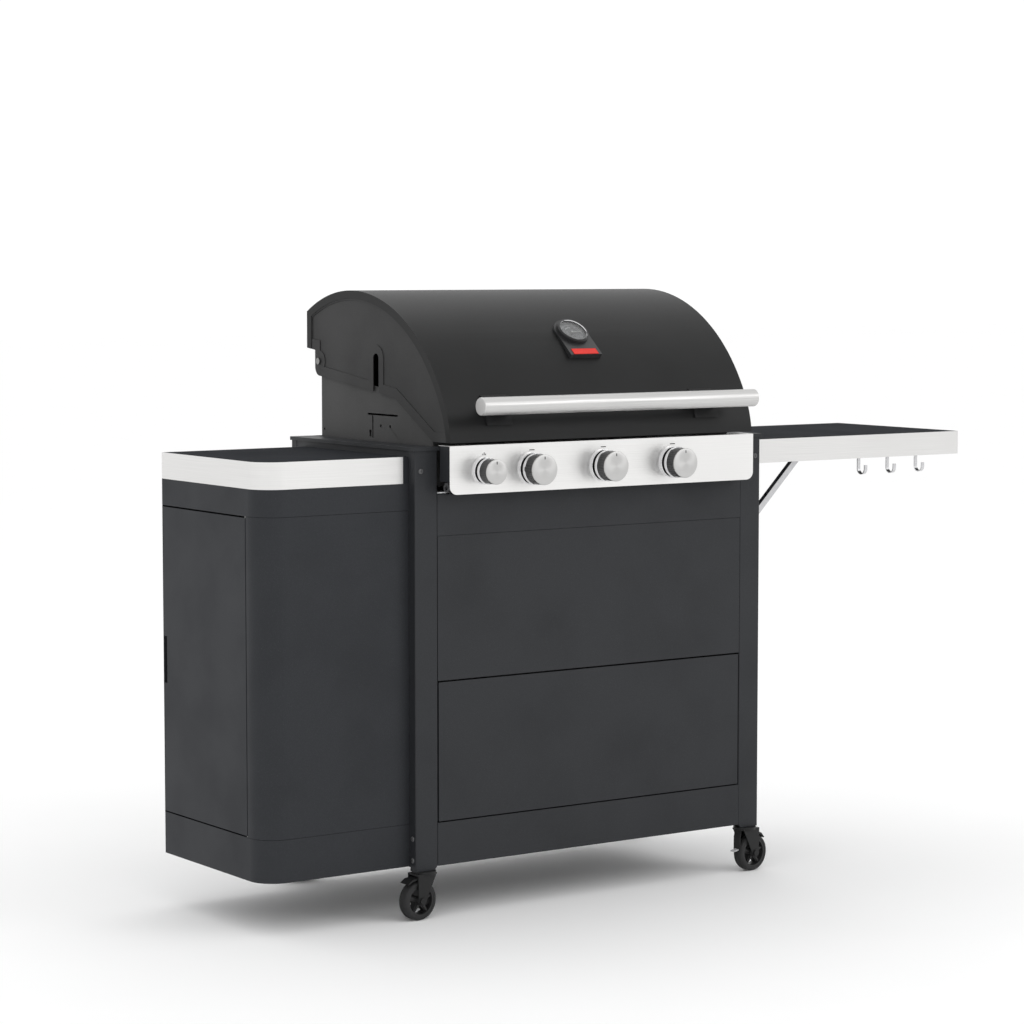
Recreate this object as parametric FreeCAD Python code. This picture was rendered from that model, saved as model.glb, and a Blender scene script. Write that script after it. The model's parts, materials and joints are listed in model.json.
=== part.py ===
"""Gas barbecue grill on a closed cart with a bottle cabinet on the left and a fold-down table on the right.

Cart coordinates are used throughout, in millimetres: x runs right from the left legs' outer face,
y runs back from the front legs' front face, z runs up from the floor. save() moves the origin to the
middle of the whole footprint, on the floor.
"""
import FreeCAD
import Part
import math
import os

V = FreeCAD.Vector

# Cart
CART_W, CART_D = 826.0, 450.0
LEG_W, LEG_D, LEG_WALL, LEG_FOOT = 50.0, 20.0, 1.5, 92.0
RIM_TOP, RIM_DEPTH, RIM_OVER = 891.0, 7.0, 3.0
SHEET = 1.0
SKIRT_LOW, SKIRT_TOP, DRAWER_TOP, RAIL_LOW, RAIL_TOP = 99.0, 181.0, 450.0, 724.0, 802.0
MID = CART_W / 2
SIDE_RECESS = 36.0

# Bottle cabinet and its worktop
CAB_LEFT, CAB_FRONT, CAB_REAR = -314.0, 23.0, 403.0
CAB_LOW, CAB_TOP, BAND_LOW = 100.0, 873.0, 823.0
DOOR_LOW, DOOR_TOP, DOOR_FRONT = 180.0, 772.0, 81.5
CORNER_R = 50.0
DOOR_DEPTH, DOOR_GAP = 20.0, 2.5
DOOR_PIVOT = (CAB_LEFT + 4.0, DOOR_FRONT + 6.5)

# Fold-down table
TABLE_LEFT, TABLE_RIGHT, TABLE_FRONT, TABLE_REAR = 828.0, 1391.0, 23.0, 413.0
TABLE_LOW, TABLE_TOP = 829.0, 877.0
TABLE_PIVOT = (833.0, 834.0)
STRUT_DROP, STRUT_Y = 135.0, 49.0

# Firebox
BOX_LEFT, BOX_RIGHT, BOX_FRONT, BOX_REAR = 60.0, 766.0, 30.0, 433.0
BOX_WALL, BOX_LIP, BOX_LOW, BOX_BACK_TOP = 2.0, 905.0, 790.0, 1056.0
GRATE_Z, GRATE_H = 896.0, 10.0
BURNER_X = (237.0, 404.5, 572.0)
BURNER_Z, BURNER_R = 848.0, 15.0

# Hood
HOOD_LEFT, HOOD_RIGHT = 54.0, 772.0
HOOD_SKIN, HOOD_FLANGE, HOOD_SEAM = 1.5, 1.2, 16.0
HOOD_TOP = (313.0, 1179.6)
REAR_R, FRONT_R, NOSE_R, NOSE_TURN = 343.0, 368.0, 195.4, 66.4
HOOD_REAR, HOOD_FRONT_LOW = 479.0, 899.0
HOOD_PIVOT = (434.5, 1039.0)
SLOT_Y, SLOT_R, SLOT_TOP = 223.0, 9.9, 1059.3

# Handle and gauge
HANDLE_Y, HANDLE_Z, HANDLE_R, HANDLE_LENGTH = -88.0, 968.5, 17.0, 650.0
HANDLE_FOOT = 247.0
GAUGE_TURN = 39.85
GAUGE_R, DIAL_R, NEEDLE_COLD = 38.0, 29.0, 215.0

# Control panel
PANEL_LEFT, PANEL_RIGHT, PANEL_Y = 51.0, 775.0, -41.0
PANEL_LOW, PANEL_TOP, PANEL_CORNER = 803.0, 894.0, 16.0
KNOB_Z = 845.5
KNOBS = ((128.0, 23.5, 25.5), (237.0, 29.0, 31.0), (404.5, 29.0, 31.0), (572.0, 29.0, 31.0))
KNOB_FACE = 43.0
MANIFOLD_Y, MANIFOLD_Z, MANIFOLD_W = -20.0, 815.0, 18.0

# Casters
WHEEL_R, WHEEL_W, TRAIL, AXLE_R = 37.5, 24.0, 16.0, 4.0
CASTERS = {
    "front_left": (25.0, 10.0, 185.4), "front_right": (801.0, 10.0, 6.0),
    "rear_left": (25.0, 440.0, 170.0), "rear_right": (801.0, 440.0, 24.0),
}
RUN_FIT = 0.05

MID_X = (CAB_LEFT + TABLE_RIGHT) / 2
MID_Y = (HANDLE_Y - HANDLE_R + HOOD_REAR) / 2


def save(name, *solids):
    """Write one sub-part, made of one or more solids, with the row's origin."""
    shape = solids[0] if len(solids) == 1 else Part.makeCompound(list(solids))
    shape = shape.copy()
    shape.translate(V(-MID_X, -MID_Y, 0))
    shape.exportStep(f"parts/{name}.step")


def box(x, y, z):
    """Box from three (low, high) ranges."""
    return Part.makeBox(x[1] - x[0], y[1] - y[0], z[1] - z[0], V(x[0], y[0], z[0]))


def rod(x, y, z, axis, radius, length):
    """Cylinder from one end, along a named axis."""
    way = {"x": V(1, 0, 0), "y": V(0, 1, 0), "z": V(0, 0, 1)}[axis]
    return Part.makeCylinder(radius, length, V(x, y, z), way)


def pipe(x, y, z, axis, outer, inner, length):
    return rod(x, y, z, axis, outer, length).cut(rod(x, y, z, axis, inner, length))


def pan(x, y, z, opening, wall=SHEET):
    """Folded sheet tray: a box hollowed from one side, such as '+y'."""
    inner = {"x": [x[0] + wall, x[1] - wall], "y": [y[0] + wall, y[1] - wall], "z": [z[0] + wall, z[1] - wall]}
    inner[opening[1]][1 if opening[0] == "+" else 0] += wall if opening[0] == "+" else -wall
    return box(x, y, z).cut(box(inner["x"], inner["y"], inner["z"]))


def mirrored(solid):
    """Copy of a solid on the other side of the cart."""
    return solid.mirror(V(MID, 0, 0), V(1, 0, 0))


def polygon_x(points, x0, x1):
    """Prism along x from (y, z) points."""
    wire = Part.makePolygon([V(x0, y, z) for y, z in points] + [V(x0, *points[0])])
    return Part.Face(wire).extrude(V(x1 - x0, 0, 0))


def polygon_y(points, y0, y1):
    """Prism along y from (x, z) points."""
    corners = [V(x, y0, z) for x, z in points]
    return Part.Face(Part.makePolygon(corners + corners[:1])).extrude(V(0, y1 - y0, 0))


def upright_edges(solid, where):
    """Edges of a solid that run along z and whose middle passes the test."""
    found = []
    for edge in solid.Edges:
        a, b = (vertex.Point for vertex in edge.Vertexes[:2]) if len(edge.Vertexes) > 1 else (V(), V())
        if abs(a.z - b.z) > SHEET / 2 and abs(a.x - b.x) + abs(a.y - b.y) < 1e-6 and where(a):
            found.append(edge)
    return found


# ---------------------------------------------------------------- cart frame

def leg(x, y, inner):
    """Flat tube post with a bevelled corner at the foot's inner side."""
    top = RIM_TOP - SHEET
    post = box((x, x + LEG_W), (y, y + LEG_D), (LEG_FOOT, top))
    post = post.makeFillet(2.0, upright_edges(post, lambda p: True))
    bore = box((x + LEG_WALL, x + LEG_W - LEG_WALL), (y + LEG_WALL, y + LEG_D - LEG_WALL), (LEG_FOOT, top))
    tip = x + LEG_W if inner > 0 else x
    bevel = [(tip, LEG_FOOT), (tip - inner * 7, LEG_FOOT), (tip, LEG_FOOT + 9)]
    return post.cut(bore).cut(polygon_y(bevel, y, y + LEG_D))


def legs():
    rear = CART_D - LEG_D
    right = CART_W - LEG_W
    save("legs", leg(0, 0, 1), leg(right, 0, -1), leg(0, rear, 1), leg(right, rear, -1))


def top_rim():
    """Flanged frame that ties the legs and carries the firebox."""
    x = (-RIM_OVER, CART_W + RIM_OVER)
    y = (-RIM_OVER, CART_D + SHEET)
    rim = pan(x, y, (RIM_TOP - RIM_DEPTH, RIM_TOP), "-z")
    gap = 12.0
    rim = rim.cut(box((BOX_LEFT - gap, BOX_RIGHT + gap), (BOX_FRONT - gap, BOX_REAR + gap), (800, 900)))
    save("top_rim", rim)


def cart_panels():
    """Left sheet, right sheet set in behind the folded table, and back sheet with a gap above for the grease tray."""
    y, z = (LEG_D, CART_D - LEG_D), (SKIRT_LOW, RIM_TOP - RIM_DEPTH)
    left = box((SHEET, 2 * SHEET), y, z)
    right = box((CART_W - SIDE_RECESS - SHEET, CART_W - SIDE_RECESS), y, z)
    x, y = (LEG_W, CART_W - LEG_W), (CART_D - LEG_D + 2, CART_D - 4)
    back = pan(x, y, (SKIRT_LOW, RAIL_LOW), "-y")
    cross_bar = pan(x, (y[0] + 3, y[1]), (RIM_TOP - 50, RIM_TOP - RIM_DEPTH), "-y")
    save("cart_panels", left, right, back, cross_bar)


def base_shelf():
    inside = (2 * SHEET, CART_W - SIDE_RECESS - SHEET)
    save("base_shelf", pan(inside, (LEG_D, CART_D - LEG_D), (SKIRT_LOW, SKIRT_LOW + 26), "+z"))


def front_rails():
    across = (LEG_W, CART_W - LEG_W)
    skirt = pan(across, (0, LEG_D), (SKIRT_LOW, SKIRT_TOP), "+y")
    rail = pan(across, (0, LEG_D), (RAIL_LOW, RAIL_TOP), "+y")
    save("front_rails", skirt, rail)


def upper_front_panel():
    reveal = 0.6
    x = (LEG_W + reveal, CART_W - LEG_W - reveal)
    save("upper_front_panel", pan(x, (0, LEG_D - 2), (DRAWER_TOP + reveal, RAIL_LOW - reveal), "+y"))


def frame_screws():
    """Pan heads on the front legs' faces and at the foot of each leg's outer side."""
    head_r, head_h = 5.0, 2.4
    front = [rod(x, -head_h, KNOB_Z + 1, "y", head_r, head_h) for x in (13, CART_W - 13)]
    feet = [rod(-head_h, y, z, "x", head_r, head_h) for y in (10, CART_D - 10) for z in (113, 154)]
    save("frame_screws", *front, *feet, *[mirrored(foot) for foot in feet])


# ---------------------------------------------------------------- drawer and trays

DRAWER_REVEAL = 2.5
RUNNER_Z = (240.0, 285.0)
TRAY_X, TRAY_Z = (250.0, 576.0), (756.0, 780.0)


def drawer():
    x = (LEG_W + DRAWER_REVEAL, CART_W - LEG_W - DRAWER_REVEAL)
    z = (SKIRT_TOP + DRAWER_REVEAL, DRAWER_TOP - DRAWER_REVEAL)
    save("drawer_front", pan(x, (0, LEG_D - 2), z, "+y"))
    tray = pan((x[0] + 24, x[1] - 24), (LEG_D - 2, CART_D - 45), (190, 330), "+z")
    slide = pan((LEG_W + 8, x[0] + 24), (LEG_D - 2, CART_D - 45), (RUNNER_Z[0] + 5, RUNNER_Z[1] - 5), "-x")
    save("drawer_tray", tray, slide, mirrored(slide))


def slide_rails():
    """Fixed runners of the drawer, and the pair of hangers that carry the grease tray."""
    runner = box((LEG_W, LEG_W + 7), (LEG_D, CART_D - LEG_D + 2), RUNNER_Z)
    foot = box((LEG_W - 12, LEG_W), (LEG_D, LEG_D + 2), RUNNER_Z)
    runner = runner.fuse(foot)
    gap = 1.0
    x0 = TRAY_X[0] - gap
    hanger = box((x0 - 2, x0), (60, CART_D - 20), (TRAY_Z[0] - 3, BOX_LOW))
    hanger = hanger.fuse(box((x0 - 2, x0 + 12), (60, CART_D - 20), (TRAY_Z[0] - 3, TRAY_Z[0] - gap)))
    save("slide_rails", runner, mirrored(runner), hanger, mirrored(hanger))


def grease_tray():
    tray = pan(TRAY_X, (90, CART_D - 6), TRAY_Z, "+z")
    pull = pan((MID - 60, MID + 60), (CART_D - 6, CART_D + 16), TRAY_Z, "-z")
    save("grease_tray", tray, pull)


# ---------------------------------------------------------------- firebox

def trough_outline(inset):
    """Firebox section below its lip, as (y, z) points."""
    front, rear, low = BOX_FRONT + inset, BOX_REAR - inset, BOX_LOW + inset
    return [(front, BOX_BACK_TOP), (front, 815), (175, low), (288, low), (rear, 832), (rear, BOX_BACK_TOP)]


def firebox_shell():
    inside = (BOX_LEFT + BOX_WALL, BOX_RIGHT - BOX_WALL)
    trough = polygon_x(trough_outline(0), *inside).cut(polygon_x(trough_outline(BOX_WALL), *inside))
    trough = trough.cut(box(inside, (0, BOX_FRONT + BOX_WALL), (BOX_LIP, 1100)))
    trough = trough.cut(box((MID - 80, MID + 80), (200, 262), (BOX_LOW - 5, BOX_LOW + 5)))
    nut_room = 8
    for x0 in (inside[0], inside[1] - nut_room):
        trough = trough.cut(box((x0, x0 + nut_room), (BOX_REAR - 10, BOX_REAR), (1024, BOX_BACK_TOP)))
    for x in BURNER_X:
        trough = trough.cut(rod(x, BOX_FRONT - 5, BURNER_Z, "y", BURNER_R + 0.4, 10))
    ledge = 10
    z = (GRATE_Z - 4, GRATE_Z)
    trough = trough.fuse(box(inside, (BOX_FRONT + BOX_WALL, BOX_FRONT + BOX_WALL + ledge), z))
    trough = trough.fuse(box(inside, (BOX_REAR - BOX_WALL - ledge, BOX_REAR - BOX_WALL), z))
    save("firebox_shell", trough)


MOTOR_TAB_CUTS = (((153, 261), (940, 943.5)), ((240.5, 244.5), (896, 940)), ((247.5, 255), (898, 911)))


def end_plate(x0):
    """Firebox end with the ear for the hood's pivot and the cut tab for a spit motor."""
    y, z = HOOD_PIVOT
    rim = [(BOX_FRONT, 915), (BOX_FRONT, 815), (175, BOX_LOW), (288, BOX_LOW), (BOX_REAR, 832)]
    top = [(BOX_REAR, 1030), (y - 12, 1024), (200, 992), (150, 986)]
    plate = polygon_x(rim + top, x0, x0 + BOX_WALL)
    ear = rod(x0, y, z, "x", 13, BOX_WALL).fuse(polygon_x([(y - 13, 1015), (BOX_REAR, 1015), (y, z), (y - 13, z)],
                                                          x0, x0 + BOX_WALL))
    plate = plate.fuse(ear).removeSplitter()
    slots = [box((x0, x0 + BOX_WALL), y_range, z_range) for y_range, z_range in MOTOR_TAB_CUTS]
    holes = [rod(x0, at, 920, "x", 3, BOX_WALL) for at in (180, 213.6)] + [rod(x0, 423, 905, "x", 2.5, BOX_WALL)]
    for cut in slots + holes + [rod(x0, y, z, "x", 4, BOX_WALL)]:
        plate = plate.cut(cut)
    return plate


def firebox_ends():
    left = end_plate(BOX_LEFT)
    save("firebox_ends", left, mirrored(left))


def burners():
    """Tube burners: open venturi mouth in front, closed rear, a row of ports on each side."""
    made = []
    rear = BOX_REAR - BOX_WALL - 14
    for x in BURNER_X:
        tube = pipe(x, 12, BURNER_Z, "y", BURNER_R, BURNER_R - 1.2, rear - 12)
        tube = tube.fuse(rod(x, rear - 2, BURNER_Z, "y", BURNER_R, 2))
        foot = box((x - 12, x + 12), (rear, BOX_REAR - BOX_WALL), (BURNER_Z - 2, BURNER_Z + 2))
        made.append(tube.fuse(foot))
    save("burners", *made)


def flame_tamers():
    half, low, peak = 38, 866, 886
    made = []
    for x in BURNER_X:
        roof = [(x - half, low), (x, peak), (x + half, low), (x + half, low + 2), (x, peak + 2), (x - half, low + 2)]
        made.append(polygon_y(roof, BOX_FRONT + BOX_WALL, BOX_REAR - BOX_WALL))
    save("flame_tamers", *made)


def cooking_grates():
    """Three cast grates side by side, each a frame with bars running front to back."""
    width = (BOX_RIGHT - BOX_LEFT - 2 * BOX_WALL - 4) / 3
    y = (BOX_FRONT + BOX_WALL + 1, BOX_REAR - BOX_WALL - 1)
    z = (GRATE_Z, GRATE_Z + GRATE_H)
    bar, bars = 6.0, 11
    made = []
    for index in range(3):
        x0 = BOX_LEFT + BOX_WALL + 1 + index * (width + 1)
        frame = box((x0, x0 + width), y, z)
        pitch = (width - bar) / bars
        for slot in range(bars):
            left = x0 + bar + slot * pitch
            for run in ((y[0] + bar, (sum(y) - bar) / 2), ((sum(y) + bar) / 2, y[1] - bar)):
                frame = frame.cut(box((left, left + pitch - bar), run, z))
        made.append(frame)
    save("cooking_grates", *made)


def warming_rack():
    x, y, z = (BOX_LEFT + BOX_WALL, BOX_RIGHT - BOX_WALL), (296, 404), 985.0
    wire = 3.0
    rods = [rod(x[0], at, z, "x", wire, x[1] - x[0]) for at in y]
    count = 24
    for index in range(count + 1):
        at = x[0] + 12 + index * (x[1] - x[0] - 24) / count
        rods.append(rod(at, y[0], z, "y", 2.0, y[1] - y[0]))
    rack = rods[0].multiFuse(rods[1:])
    save("warming_rack", rack)


def rear_burner():
    """Infra-red burner on the firebox's rear wall, behind a spit."""
    wall = BOX_REAR - BOX_WALL
    x, z = (MID - 210, MID + 210), (925, 1000)
    housing = pan(x, (wall - 22, wall), z, "-y", 2.0)
    tile = box((x[0] + 2, x[1] - 2), (wall - 14, wall - 2), (z[0] + 2, z[1] - 2))
    save("rear_burner", housing, tile)


# ---------------------------------------------------------------- gas line and controls

def gas_manifold():
    """Square gas rail with its inlet elbow and nut at the left end."""
    half = MANIFOLD_W / 2
    y, z = (MANIFOLD_Y - half, MANIFOLD_Y + half), (MANIFOLD_Z - half, MANIFOLD_Z + half)
    rail = box((66, 640), y, z)
    nut_r = 10.0
    nut = Part.Face(Part.makePolygon([
        V(57, MANIFOLD_Y + nut_r * math.cos(turn), MANIFOLD_Z + nut_r * math.sin(turn))
        for turn in [index * math.pi / 3 for index in range(7)]])).extrude(V(9, 0, 0))
    bore = rod(57, MANIFOLD_Y, MANIFOLD_Z, "x", 4.5, 20)
    save("gas_manifold", rail.fuse(nut).cut(bore))


def valve(x):
    """Gas tap: body, saddle on the rail, stem guide in front and jet behind."""
    body = rod(x, -31, KNOB_Z, "y", 11, 31)
    saddle = box((x - 8, x + 8), (MANIFOLD_Y - 8, MANIFOLD_Y + 8), (MANIFOLD_Z + MANIFOLD_W / 2, KNOB_Z))
    jet = rod(x, 0, KNOB_Z, "y", 5, 15)
    guide = rod(x, -31, KNOB_Z, "y", 3 + RUN_FIT, 22)
    return body.fuse(saddle).fuse(jet).cut(guide)


def gas_valves():
    save("gas_valves", *[valve(knob[0]) for knob in KNOBS])


def control_box():
    """Heat shield behind the panel: two cheeks and a floor strip, open at the bottom corners."""
    front, back = PANEL_Y + SHEET, -RIM_OVER
    cheek = box((54, 55.5), (front, back), (826, PANEL_TOP - SHEET))
    shelf = box((54, 772), (front + 6, back), (MANIFOLD_Z - 12.5, MANIFOLD_Z - 11))
    save("control_box", cheek, mirrored(cheek), shelf)


def control_panel():
    """Steel fascia with rounded lower corners, a top return and a hole at each tap."""
    x, z = (PANEL_LEFT, PANEL_RIGHT), (PANEL_LOW, PANEL_TOP)
    face = box(x, (PANEL_Y, PANEL_Y + SHEET), z)
    lower = [edge for edge in face.Edges if abs(edge.CenterOfMass.z - PANEL_LOW) < 1e-6
             and abs(edge.Length - SHEET) < 1e-6]
    face = face.makeFillet(PANEL_CORNER, lower)
    face = face.fuse(box(x, (PANEL_Y, -RIM_OVER), (PANEL_TOP - SHEET, PANEL_TOP)))
    for knob in KNOBS:
        face = face.cut(rod(knob[0], PANEL_Y, KNOB_Z, "y", 5, SHEET))
    save("control_panel", face.removeSplitter())


def knob_bezels():
    made = []
    for x, _, radius in KNOBS:
        ring = rod(x, PANEL_Y - 5.5, KNOB_Z, "y", radius, 5.5)
        ring = ring.makeFillet(1.2, [edge for edge in ring.Edges if abs(edge.CenterOfMass.y - PANEL_Y + 5.5) < 1e-6])
        ring = ring.cut(rod(x, PANEL_Y - 5.5, KNOB_Z, "y", radius - 1.4, 4)).cut(rod(x, PANEL_Y - 6, KNOB_Z, "y", 5, 9))
        made.append(ring)
    save("knob_bezels", *made)


def knob_profile(radius):
    """Half section of a knob as (distance from the panel, radius) points."""
    return [(6.5, 0), (6.5, radius - 1.5), (12, radius - 1.2), (12, radius + 0.6), (13, radius + 1),
            (19, radius + 0.6), (19, radius - 0.9), (40, radius - 0.2), (41, radius - 0.2),
            (KNOB_FACE - 0.6, radius - 0.2), (KNOB_FACE, radius - 0.9), (KNOB_FACE, 0)]


def knobs():
    """Each tap's sliding stem and the knob that turns on it."""
    for number, (x, radius, _) in enumerate(KNOBS, 1):
        outline = [V(x, PANEL_Y - d, KNOB_Z + r) for d, r in knob_profile(radius)]
        solid = Part.Face(Part.makePolygon(outline + outline[:1])).revolve(V(x, 0, KNOB_Z), V(0, 1, 0), 360)
        stem_tip = PANEL_Y - 34
        bore = rod(x, stem_tip - 0.5, KNOB_Z, "y", 3 + RUN_FIT, 40)
        save(f"knob_{number}", solid.cut(bore))
        stem = rod(x, stem_tip, KNOB_Z, "y", 3, -17 - stem_tip)
        save(f"valve_stem_{number}", stem)


# ---------------------------------------------------------------- hood

def hood_face(inset):
    """Hood section: nose, front and rear arcs over straight sides, as a face at x = 0."""
    turn = math.radians(NOSE_TURN)
    top_y, top_z = HOOD_TOP
    front_c = (top_y, top_z - FRONT_R)
    rear_c = (top_y, top_z - REAR_R)
    nose_c = (top_y - (FRONT_R - NOSE_R) * math.sin(turn), front_c[1] + (FRONT_R - NOSE_R) * math.cos(turn))
    rear_turn = math.asin((HOOD_REAR - inset - top_y) / (REAR_R - inset))

    def at(centre, radius, angle):
        return V(0, centre[0] - (radius - inset) * math.sin(angle), centre[1] + (radius - inset) * math.cos(angle))

    low = 850.0
    nose_low, join, crest = at(nose_c, NOSE_R, math.pi / 2), at(front_c, FRONT_R, turn), at(front_c, FRONT_R, 0)
    rear_top = at(rear_c, REAR_R, -rear_turn)
    front_foot, rear_foot = V(0, nose_low.y, low), V(0, rear_top.y, low)
    nose_mid = at(nose_c, NOSE_R, (turn + math.pi / 2) / 2)
    edges = [
        Part.LineSegment(front_foot, nose_low), Part.Arc(nose_low, nose_mid, join),
        Part.Arc(join, at(front_c, FRONT_R, turn / 2), crest),
        Part.Arc(crest, at(rear_c, REAR_R, -rear_turn / 2), rear_top),
        Part.LineSegment(rear_top, rear_foot), Part.LineSegment(rear_foot, front_foot),
    ]
    return Part.Face(Part.Wire([edge.toShape() for edge in edges]))


def rounded_face(corners):
    """Face at x = 0 from (y, z, corner radius) points."""
    count = len(corners)
    points = [V(0, y, z) for y, z, _ in corners]
    ends = []
    for index, (_, _, radius) in enumerate(corners):
        here = points[index]
        back = (points[index - 1] - here).normalize()
        ahead = (points[(index + 1) % count] - here).normalize()
        half = back.getAngle(ahead) / 2
        reach = radius / math.tan(half)
        middle = here + (back + ahead).normalize() * (radius / math.sin(half) - radius) if radius else here
        ends.append((here + back * reach, middle, here + ahead * reach))
    edges = []
    for index, (start, middle, end) in enumerate(ends):
        if corners[index][2]:
            edges.append(Part.Arc(start, middle, end).toShape())
        edges.append(Part.LineSegment(end, ends[(index + 1) % count][0]).toShape())
    return Part.Face(Part.Wire(edges))


def end_trim(grow=0.0):
    """Everything above the hood's lower edge; grow lifts that edge by the same amount all round."""
    g = grow
    return rounded_face([
        (-100, 1300, 0), (-100, HOOD_FRONT_LOW + g, 0), (24 - 0.3 * g, HOOD_FRONT_LOW + g, 10),
        (156 - 0.3 * g, 976 + g, 14), (232, 986 + g, 6), (450 - g, 1012 + g, 18),
        (450 - g, 1061 + g, 0), (520, 1070 + g, 0), (520, 1300, 0)])


def spit_slot(grow=0.0):
    radius = SLOT_R + grow
    centre = SLOT_TOP - SLOT_R
    slot = box((0, 20), (SLOT_Y - radius, SLOT_Y + radius), (900, centre))
    return slot.fuse(rod(0, SLOT_Y, centre, "x", radius, 20))


def hood_block(face, x0, x1):
    block = face.extrude(V(x1 - x0, 0, 0))
    block.translate(V(x0, 0, 0))
    return block


def hood_shell():
    """Rolled skin with a narrow folded flange at each end, its front edge and its back wall."""
    skin = hood_block(hood_face(0), HOOD_LEFT, HOOD_RIGHT).cut(
        hood_block(hood_face(HOOD_SKIN), HOOD_LEFT, HOOD_RIGHT))
    skin = skin.common(hood_block(end_trim(), HOOD_LEFT, HOOD_RIGHT))
    ring = hood_block(hood_face(HOOD_SKIN), HOOD_LEFT, HOOD_LEFT + HOOD_FLANGE).cut(
        hood_block(hood_face(HOOD_SEAM), HOOD_LEFT, HOOD_LEFT + HOOD_FLANGE))
    ring = ring.common(hood_block(end_trim(), HOOD_LEFT, HOOD_RIGHT))
    probe_hole = gauge_place(Part.makeCylinder(6, 20, V(0, 0, -10)))
    save("hood_shell", skin.fuse(ring).fuse(mirrored(ring)).cut(probe_hole).removeSplitter())


def hood_cap():
    """Pressed end: a flat border and a field sunk below it, with the spit slot and pivot hole."""
    x0 = HOOD_LEFT + HOOD_FLANGE
    wall, sunk, border = 1.5, 1.6, 17.0
    outline = hood_block(hood_face(HOOD_SKIN), x0, x0 + wall).common(hood_block(end_trim(), x0, x0 + wall))
    slot = spit_slot()
    slot.translate(V(x0 - 5, 0, 0))

    def field(inset, near, far):
        block = hood_block(hood_face(border + inset), near, far)
        block = block.common(hood_block(end_trim(border + inset), near, far))
        wide_slot = spit_slot(border - 2 + inset)
        wide_slot.translate(V(x0 - 5, 0, 0))
        lobe = rod(near - 1, HOOD_PIVOT[0], HOOD_PIVOT[1], "x", 20 + inset, far - near + 2)
        return block.cut(wide_slot).cut(lobe)

    cap = outline.fuse(field(0, x0, x0 + wall + sunk)).cut(field(wall, x0, x0 + sunk))
    cap = cap.cut(slot).cut(rod(x0, *HOOD_PIVOT, "x", 4 + RUN_FIT, 10))
    return cap.removeSplitter()


def hood_caps():
    cap = hood_cap()
    save("hood_caps", cap, mirrored(cap))


def pivot_bolt():
    """Shoulder bolt of the hood: head outside the cap, shank through the cap into the firebox ear."""
    y, z = HOOD_PIVOT
    bolt = rod(HOOD_LEFT + 0.6, y, z, "x", 4, BOX_LEFT + BOX_WALL - HOOD_LEFT)
    head = rod(HOOD_LEFT - 2.4, y, z, "x", 6.5, 3)
    nut = rod(BOX_LEFT + BOX_WALL, y, z, "x", 7, 5)
    return head.fuse(bolt).fuse(nut).removeSplitter()


def hinge_pins():
    """Hood bolts, and the cabinet door's upper and lower pins."""
    bolt = pivot_bolt()
    x, y = DOOR_PIVOT
    pins = [rod(x, y, DOOR_LOW - 6, "z", 2, 14), rod(x, y, DOOR_TOP - 8, "z", 2, 14)]
    save("hinge_pins", bolt, mirrored(bolt), *pins)


def handle():
    """Steel tube with bevelled end plugs, on two cast feet that follow the hood's face."""
    x0 = MID - HANDLE_LENGTH / 2
    plug = 5.0
    tube = pipe(x0 + plug, HANDLE_Y, HANDLE_Z, "x", HANDLE_R, HANDLE_R - 1.5, HANDLE_LENGTH - 2 * plug)
    cap = rod(x0, HANDLE_Y, HANDLE_Z, "x", HANDLE_R, plug)
    cap = cap.makeChamfer(1.2, [edge for edge in cap.Edges if abs(edge.CenterOfMass.x - x0) < 1e-6])
    save("handle_bar", tube, cap, mirrored(cap))
    feet = []
    hood = hood_block(hood_face(0), 0, CART_W)
    for x in (MID - HANDLE_FOOT, MID + HANDLE_FOOT):
        foot = polygon_x([(HANDLE_Y + 6, 983), (0, 975), (0, 944), (HANDLE_Y + 6, 954)], x - 20, x + 20)
        flange = polygon_x([(-44, 985), (0, 985), (0, 930), (-44, 930)], x - 29, x + 29)
        near = hood_block(hood_face(-4), x - 29, x + 29)
        foot = foot.fuse(flange.common(near)).cut(hood)
        feet.append(foot.cut(rod(x - 30, HANDLE_Y, HANDLE_Z, "x", HANDLE_R, 60)).removeSplitter())
    save("handle_brackets", *feet)


# ---------------------------------------------------------------- hood gauge

def gauge_place(solid):
    """Put a solid made about the gauge's own axis (x right, y up the slope, z out) on the hood."""
    turn = math.radians(GAUGE_TURN)
    radius = FRONT_R
    centre = (HOOD_TOP[0] - radius * math.sin(turn), HOOD_TOP[1] - radius + radius * math.cos(turn))
    solid = solid.copy()
    solid.Placement = FreeCAD.Placement(V(MID, *centre), FreeCAD.Rotation(V(1, 0, 0), GAUGE_TURN))
    return solid


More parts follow.
